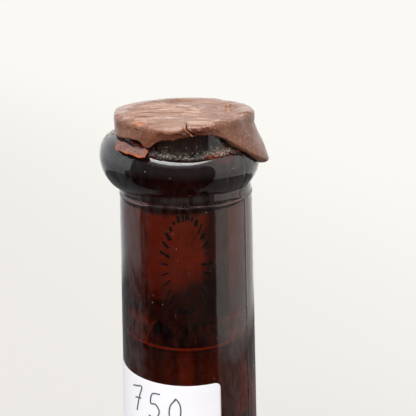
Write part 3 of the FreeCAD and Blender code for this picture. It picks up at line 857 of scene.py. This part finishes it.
wax_mesh.materials.append(sealing_wax)
wax = add_object("wax", wax_mesh)
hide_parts("wax_cap")
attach(wax, "root")


# ------------------------------------------------------------------ the loose flake
# A strip of the same wax that broke out under the left lobe and still lies on the collar: its
# smooth outer skin is gone, its face is grainy and its edges are raw.
flake_grain = 0.2

# Sealing wax broken across: matt, grainy, pinkish brown, with rusty raw edges.
broken_wax, add = new_material("brown sealing wax, broken")
place = add("TexCoord").outputs["Object"]
grit = add("TexNoise", {"Vector": place, "Scale": 1.5 / MM, "Detail": 4.0, "Roughness": 0.7})
edge_at = add("Attribute", attribute_name="edge").outputs["Fac"]
face = add("Mix", {"Factor": grit, "A": srgb("#432a24"), "B": srgb("#a67e72")}, data_type="RGBA")
raw = add("Mix", {"Factor": edge_at, "A": face, "B": srgb("#b3603c")}, data_type="RGBA")
grainy = add("Bump", {"Height": grit, "Strength": 0.5, "Distance": 0.1 * MM})
surface = add("BsdfPrincipled", {"Base Color": raw, "Roughness": 0.7, "Normal": grainy})
add("OutputMaterial", {"Surface": surface})

flake_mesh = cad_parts["wax_flake"].data.copy()
form = bmesh.new()
form.from_mesh(flake_mesh)
bmesh.ops.remove_doubles(form, verts=form.verts, dist=1e-6)
form.to_mesh(flake_mesh)
form.free()
flake = add_object("flake", flake_mesh)
remesh = flake.modifiers.new("fine skin", "REMESH")
remesh.mode = "VOXEL"
remesh.voxel_size = 0.11 * MM
flake.data = made_mesh(flake)
flake.modifiers.clear()
spots, turns = get_points(flake.data) / MM, get_points(flake.data, "normal")
push = flake_grain * field(spots, 0.4, 31) + 0.25 * field(spots, 1.4, 32) - 0.04
spots = spots + turns * push[:, None]
flake.data.vertices.foreach_set("co", (spots * MM).reshape(-1))
# raw edges: along the foot of the strip and at its two ends
azimuths = azimuths_of(spots)
along_strip = (azimuths - azimuths.min()) / np.ptp(azimuths)
slice_of = np.minimum((along_strip * 16).astype(int), 15)
foot, head = [np.array([end(spots[slice_of == k, 2]) for k in range(16)]) for end in (np.min, np.max)]
up_strip = (spots[:, 2] - foot[slice_of]) / (head - foot)[slice_of]
worn = 0.12 * field(spots, 0.5, 33)
raw_at = ramp(up_strip - worn, 0.42, 0.27)
raw_at += ramp(np.abs(along_strip - 0.5) + worn, 0.42, 0.47)
set_attribute(flake.data, "edge", np.clip(raw_at, 0, 1))
flake.data.shade_smooth()
flake.data.materials.clear()
flake.data.materials.append(broken_wax)
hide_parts("wax_flake")
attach(flake, "root")


# ------------------------------------------------------------------ cellar dust
# Fine grit that settled in the groove between the lip and the collar and on the collar's
# shoulder, with a few grains stuck further down. It only lies where it can rest.
grain_radius = 0.105

# Cellar grit: chips of wax, lime and earth, from pale sand to brown, dull. Real grit is finer than
# these grains, which are as coarse as they need to be to show.
grit_dust, add = new_material("cellar grit, settled")
place = add("TexCoord").outputs["Object"]
lumps = add("TexNoise", {"Vector": place, "Scale": 2.6 / MM, "Detail": 0.0})
pick = add("MapRange", {0: lumps, 1: 0.3, 2: 0.7})
sand = add("Mix", {"Factor": pick, "A": srgb("#7c6a58"), "B": srgb("#e2d6c0")}, data_type="RGBA")
surface = add("BsdfPrincipled", {"Base Color": sand, "Roughness": 0.9})
add("OutputMaterial", {"Surface": surface})

scatter, entry, add = new_tree("settled grit", {
    "Density": "Float", "Grain": "Float", "Seed": "Int", "Finish": "Material"})
held = add("GeometryNodeInputNamedAttribute", {"Name": "held"})
crowd = add("Math", {0: held, 1: entry["Density"]}, operation="MULTIPLY")
grains = add("GeometryNodeDistributePointsOnFaces", {
    "Mesh": entry["Geometry"], "Density": crowd, "Seed": entry["Seed"]})
crumb = add("GeometryNodeMeshIcoSphere", {"Radius": entry["Grain"]})
spin = add("FunctionNodeRandomValue", {0: (0, 0, 0), 1: (6.3, 6.3, 6.3), "Seed": 5}, data_type="FLOAT_VECTOR")
size = add("FunctionNodeRandomValue", {0: (0.35, 0.35, 0.3), 1: (1.5, 1.2, 0.8), "Seed": 6},
           data_type="FLOAT_VECTOR")
laid = add("GeometryNodeInstanceOnPoints", {
    "Points": grains, "Instance": crumb, "Rotation": spin, "Scale": size})
loose = add("GeometryNodeRealizeInstances", {0: laid})
dusted = add("GeometryNodeSetMaterial", {"Geometry": loose, "Material": entry["Finish"]})
add("NodeGroupOutput", {0: dusted})

bed = bottle.data.copy()
spots, upward = get_points(bed) / MM, get_points(bed, "normal")[:, 2]
azimuths, radii, levels = azimuths_of(spots), np.hypot(spots[:, 0], spots[:, 1]), spots[:, 2] - parting
_, collar_tops = collar_limits(azimuths)
lips = reach(lip_centre, lip_radius, azimuths)
outside = radii > lips - 0.3
groove_dust = in_groove(radii, azimuths, levels)
wall_dust = 0.45 * peak(radii, lips, 0.15) * ramp(levels - collar_tops, 0, 0.3)
wall_dust *= np.exp(-np.maximum(0, levels - collar_tops) / 0.9)
shelf_dust = 0.05 * ramp(upward, 0.7, 1.0) * (levels < collar_tops + 0.3) * (levels > 3)
left_dust = 0.8 * bump(azimuths, -100, 45) * ramp(upward, 0.3, 0.7) * (levels > 5)
patches = np.clip(0.65 + 1.1 * field(spots, 2.2, 41) + 0.5 * bump(azimuths, 38, 30), 0.05, 1.6)
specks = 0.0016 * (levels > -80) * (levels < 12) * (np.abs(azimuths) < 95)
held_at = (groove_dust + wall_dust + shelf_dust + left_dust) * patches + specks
held_at *= outside & (levels < wax_rim(azimuths) - 0.1) & ((azimuths < -75) | (azimuths > -30) | (levels < 3))
set_attribute(bed, "held", held_at)
dust = grow("cellar_dust", scatter, bed, Density=1.5e7, Grain=grain_radius * MM, Seed=3, Finish=grit_dust)
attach(dust, "root")


# ------------------------------------------------------------------ the paper label
# A small self-stick label of white paper with rounded corners, wrapped round the neck a little
# above the throat, its plain cellar number written on by pen.
label_low, label_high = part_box("paper_label")
label_top, label_foot = label_high.z / MM, label_low.z / MM
label_width = 38.1
label_right_azimuth = 27.0
label_corner = 1.3
label_gap = 0.06
label_thickness = 0.13
pen_width = 0.3
digit_width = 3.2
digit_height = 6.4
digit_pitch = 4.8
number_from_right = 8.6
number_from_top = 3.0
number_slant = -0.5


def glass_surface(level):
    """Outer radius of the neck or throat at an absolute height."""
    angle = math.atan(neck_taper)
    start = neck_radius(throat_height)
    centre = (start + throat_radius * math.cos(angle), throat_height + throat_radius * math.sin(angle))
    bend = centre[1] - throat_radius * math.sin(angle)
    curved = centre[0] - np.sqrt(np.maximum(1.0, throat_radius ** 2 - (centre[1] - level) ** 2))
    return np.where(level < bend, curved, neck_radius(level))


def on_label(across, down, lift):
    """Point on the label from its right edge and its top, in millimetres."""
    level = label_top - down
    middle = glass_surface(0.5 * (label_top + label_foot))
    azimuth = label_right_azimuth - np.degrees(across / middle)
    return ring(azimuth, glass_surface(level) + label_gap + lift, level)


def label_sheet():
    """Front of the label as a grid of points, drawn in at its rounded corners."""
    height = label_top - label_foot
    rows = []
    curve, straight = np.linspace(0, label_corner, 8), np.linspace(label_corner, height - label_corner, 26)
    for down in np.concatenate([curve, straight[1:], (height - label_corner + curve)[1:]]):
        into_corner = max(0, label_corner - min(down, height - down))
        inset = label_corner - math.sqrt(label_corner ** 2 - into_corner ** 2)
        across = np.linspace(inset, label_width - inset, 90)
        puff = 0.05 * field(on_label(across, down, 0), (7, 7, 9), 51)
        rows.append(on_label(across, down, 0.04 + np.abs(puff)))
    return np.array(rows)


# Uncoated label paper: white, matt, with a faint felt of fibres half a millimetre long.
label_paper, add = new_material("white label paper, uncoated")
place = add("TexCoord").outputs["Object"]
fibres = add("TexNoise", {"Vector": place, "Scale": 1.8 / MM, "Detail": 5.0, "Roughness": 0.7})
tone = add("TexNoise", {"Vector": place, "Scale": 0.22 / MM, "Detail": 3.0})
white = add("Mix", {"Factor": tone, "A": srgb("#f9f7fb"), "B": srgb("#fffdff")}, data_type="RGBA")
felt = add("Bump", {"Height": fibres, "Strength": 0.2, "Distance": 0.05 * MM})
surface = add("BsdfPrincipled", {"Base Color": white, "Roughness": 0.85, "Normal": felt})
add("OutputMaterial", {"Surface": surface})

sheet = label_sheet()
corners = np.arange(sheet[..., 0].size).reshape(sheet.shape[:2])
faces = np.stack([corners[:-1, :-1], corners[:-1, 1:], corners[1:, 1:], corners[1:, :-1]], axis=-1)
label_mesh = bpy.data.meshes.new("label")
label_mesh.from_pydata(sheet.reshape(-1, 3) * MM, [], faces.reshape(-1, 4).tolist())
label_mesh.flip_normals()
label_mesh.shade_smooth()
label_mesh.materials.append(label_paper)
label = add_object("label", label_mesh)
thick = label.modifiers.new("paper thickness", "SOLIDIFY")
thick.thickness = label_thickness * MM
thick.offset = 1.0
label.data = made_mesh(label)
label.modifiers.clear()
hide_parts("paper_label")
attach(label, "root")

# Ballpoint ink: thin blue-grey line, slightly glossy.
pen_ink, add = new_material("ballpoint pen ink")
surface = add("BsdfPrincipled", {"Base Color": srgb("#4c5468"), "Roughness": 0.4})
add("OutputMaterial", {"Surface": surface})


def pen_line(corners, steps=10):
    """Smooth line through a few corners, as a pen draws it."""
    held = np.array([corners[0], *corners, corners[-1]], dtype=float)
    line = []
    for a, b, c, d in zip(held, held[1:], held[2:], held[3:]):
        for t in np.arange(steps) / steps:
            line.append(0.5 * (2 * b + (c - a) * t + (2 * a - 5 * b + 4 * c - d) * t ** 2
                               + (3 * b - a - 3 * c + d) * t ** 3))
    return np.array(line + [held[-1]])


# each digit as pen lines in a box one unit wide and one high, from its top left corner
digit_lines = {
    "7": [[(0.05, 0.12), (0.45, 0.06), (0.95, 0.02), (0.68, 0.45), (0.42, 1.0)], [(0.3, 0.52), (0.85, 0.46)]],
    "5": [[(0.95, 0.0), (0.35, 0.06), (0.22, 0.42), (0.62, 0.42), (0.88, 0.68), (0.55, 0.97), (0.05, 0.9)]],
    "0": [[(0.6, 0.02), (0.18, 0.3), (0.12, 0.72), (0.45, 1.0), (0.84, 0.7), (0.88, 0.28), (0.6, 0.02),
           (0.45, 0.1)]],
}
written = bpy.data.curves.new("cellar number", "CURVE")
written.dimensions = "3D"
written.bevel_depth = pen_width / 2 * MM
written.bevel_resolution = 2
written.use_fill_caps = True
for count, digit in enumerate("750"):
    for corners in digit_lines[digit]:
        across, down = pen_line(corners).T
        start = number_from_right + (2 - count) * digit_pitch
        drop = number_from_top + (2 - count) * number_slant
        spots = on_label(start + digit_width * (1 - across), drop + digit_height * down,
                         label_thickness - 0.04)
        stroke = written.splines.new("POLY")
        stroke.points.add(len(spots) - 1)
        for point, spot in zip(stroke.points, spots):
            point.co = (*(spot * MM), 1)
pen = add_object("cellar_number", written)
number_mesh = made_mesh(pen)
bpy.data.objects.remove(pen)
number_mesh.materials.clear()
number_mesh.materials.append(pen_ink)
cellar_number = add_object("cellar_number", number_mesh)
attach(cellar_number, "root")


# ------------------------------------------------------------------ the studio
# A pale floor, painted lighter further off and to the right as a fall of light, under a plain pale
# surround, with soft light from above and the front. A black flag stands behind the camera, so that
# the glass shows dark between pale edges.
floor_half = 9.0
flag_middle = -16.5
flag_half_width = 67.5
# bright things behind the bottle, seen through the wine: (middle, half width, how much brighter)
bright_things = ((0.0, 0.055, 1.3), (-0.15, 0.09, 0.45), (-0.385, 0.05, 0.7), (0.09, 0.035, 0.45))

floor_material, add = new_material("pale studio floor")
place = add("TexCoord").outputs["Object"]
sideways, back, _ = add("SeparateXYZ", {0: place}).outputs
# lighter further off and to the right: a painted fall of light
away = add("Math", {0: sideways, 1: 1.5, 2: back}, operation="MULTIPLY_ADD")
far = add("MapRange", {0: away, 1: 0.1, 2: 1.6}, interpolation_type="SMOOTHSTEP")
pale = add("Mix", {"Factor": far, "A": srgb("#e9e6e2"), "B": srgb("#f5f4ef")}, data_type="RGBA")
surface = add("BsdfDiffuse", {"Color": pale})
add("OutputMaterial", {"Surface": surface})
floor_mesh = bpy.data.meshes.new("floor")
floor_mesh.from_pydata([(a * floor_half, b * floor_half, 0) for a, b in ((-1, -1), (1, -1), (1, 1), (-1, 1))],
                       [], [(0, 1, 2, 3)])
floor_mesh.materials.append(floor_material)
floor = add_object("floor", floor_mesh)
floor.visible_glossy = False
floor.visible_diffuse = False
floor.visible_transmission = False

scene = bpy.context.scene
world = bpy.data.worlds.new("pale surround")
scene.world = world
world.use_nodes = True
world.node_tree.nodes.clear()
add = partial(add_node, world.node_tree)
ray = add("LightPath").outputs
look = add("TexCoord").outputs["Generated"]
sideways, _, height = add("SeparateXYZ", {0: look}).outputs
level = add("VectorMath", {0: look, 1: (1, 1, 0)}, operation="MULTIPLY")
heading = add("VectorMath", {0: level}, operation="NORMALIZE")
aim = (math.sin(math.radians(flag_middle)), -math.cos(math.radians(flag_middle)), 0)
toward = add("VectorMath", {0: heading, 1: aim}, operation="DOT_PRODUCT")
edge = math.cos(math.radians(flag_half_width))
left = add("MapRange", {0: sideways, 1: -0.85, 2: -0.5, 3: 0.22, 4: 0.0})
high = add("MapRange", {0: height, 1: -0.25, 2: 0.0})
notch = add("Math", {0: left, 1: high}, operation="MULTIPLY")
held_back = add("Math", {0: toward, 1: notch}, operation="SUBTRACT")
flag = add("MapRange", {0: held_back, 1: edge - 0.02, 2: edge + 0.02})
below_top = add("MapRange", {0: height, 1: 0.75, 2: 0.9, 3: 1.0, 4: 0.0})
shaded = add("Math", {0: flag, 1: below_top}, operation="MULTIPLY")
covered = add("Math", {0: shaded, 1: ray["Is Glossy Ray"]}, operation="MULTIPLY")
sides = add("MapRange", {0: sideways, 1: -0.6, 2: 0.6})
room = add("Mix", {"Factor": sides, "A": srgb("#f8fafc"), "B": srgb("#fffaf4")}, data_type="RGBA")
upward = add("MapRange", {0: height, 1: -0.25, 2: 0.1})
black_cloth = add("Mix", {"Factor": upward, "A": srgb("#5b574f"), "B": srgb("#696c71")}, data_type="RGBA")
flagged = add("Mix", {"Factor": covered, "A": room, "B": black_cloth}, data_type="RGBA")
# mirrored surroundings: dark below the table's edge, dimmer low on the left, brighter higher up
tabletop = add("Math", {0: sideways, 1: 0.048, 2: height}, operation="MULTIPLY_ADD")
under = add("MapRange", {0: tabletop, 1: -0.405, 2: -0.37, 3: 0.22})
low_light = add("MapRange", {0: sideways, 1: -0.8, 2: -0.45, 3: 0.65, 4: 1.05})
rising = add("MapRange", {0: height, 1: -0.25, 2: 0.15, 3: low_light, 4: 1.45})
around = add("Math", {0: under, 1: rising}, operation="MULTIPLY")
off_side = add("Math", {0: sideways}, operation="ABSOLUTE")
window_side = add("MapRange", {0: off_side, 1: 0.34, 2: 0.42, 3: 1.0, 4: 0.0})
window_top = add("MapRange", {0: height, 1: 0.925, 2: 0.965, 4: 10.0})
window = add("Math", {0: window_side, 1: window_top}, operation="MULTIPLY")
shine = add("Math", {0: window, 1: around})
# what shows through the glass: light from above, little from below
ahead = add("VectorMath", {0: look, 1: (-0.2, -0.75, 0.63)}, operation="DOT_PRODUCT")
front_light = add("MapRange", {0: ahead, 1: 0.3, 2: 0.75, 4: 6.3})
on_cork = add("Math", {0: ray["Diffuse Depth"], 1: front_light}, operation="MULTIPLY")
below_edge = add("MapRange", {0: height, 1: -0.5, 2: -0.45, 3: 1.0, 4: 0.0})
above_foot = add("MapRange", {0: height, 1: -0.64, 2: -0.6})
steep = add("Math", {0: below_edge, 1: above_foot}, operation="MULTIPLY")
edge_on = add("MapRange", {0: height, 1: -0.45, 2: -0.39, 3: 0.05, 4: 0.22})
# the part of the surround behind the bottle, plain but for a few brighter things
seen = 0.55
for middle, half, amount in bright_things:
    away = add("Math", {0: sideways, 1: middle}, operation="SUBTRACT")
    aside = add("Math", {0: away}, operation="ABSOLUTE")
    glow = add("MapRange", {0: aside, 1: 0.5 * half, 2: half, 3: amount, 4: 0.0})
    seen = add("Math", {0: seen, 1: glow})
higher = add("MapRange", {0: height, 1: -0.33, 2: -0.25, 3: 1.0, 4: 0.15})
far_wall = add("Math", {0: edge_on, 1: higher}, operation="MULTIPLY")
behind = add("Math", {0: seen, 1: steep, 2: far_wall}, operation="MULTIPLY_ADD")
through = add("Math", {0: behind, 1: on_cork})
strength = add("Mix", {"Factor": ray["Is Transmission Ray"], "A": shine, "B": through})
studio = add("Background", {"Color": flagged, "Strength": strength})
plain = add("Background", {"Color": srgb("#ffffff"), "Strength": 0.55})
mirrored = add("Math", {0: ray["Is Glossy Ray"], 1: ray["Is Transmission Ray"]}, operation="MAXIMUM")
lit = add("MixShader", {0: mirrored, 1: plain, 2: studio})
backdrop = add("Background", {"Color": srgb("#f9f8f3")})
shown = add("MixShader", {0: ray["Is Camera Ray"], 1: lit, 2: backdrop})
add("OutputWorld", {"Surface": shown})

sun = add_object("soft key", bpy.data.lights.new("soft key", "SUN"))
sun.data.energy = 2.2
sun.data.angle = math.radians(25)
sun_from = Vector((-0.18, -0.68, 0.71))
sun.matrix_world = sun_from.to_track_quat("Z", "Y").to_matrix().to_4x4()
sun.visible_glossy = False
sun.visible_transmission = False

# the camera looks down on the finish of the bottle
focal_ratio = 800 / 416
pitch = math.radians(17.62)
roll = math.radians(-0.70)
camera_place = Vector((4.71, -165.2, parting + 47.88)) * MM
camera = add_object("camera", bpy.data.cameras.new("camera"))
camera.data.sensor_width = 36.0
camera.data.lens = 36.0 * focal_ratio
camera.data.clip_start = 0.01
forward = Vector((0, math.cos(pitch), -math.sin(pitch)))
up = Vector((1, 0, 0)).cross(forward)
look_down = Matrix((Vector((1, 0, 0)), up, -forward)).transposed() @ Matrix.Rotation(roll, 3, "Z")
camera.matrix_world = Matrix.Translation(camera_place) @ look_down.to_4x4()
scene.camera = camera
scene.view_settings.view_transform = "Standard"
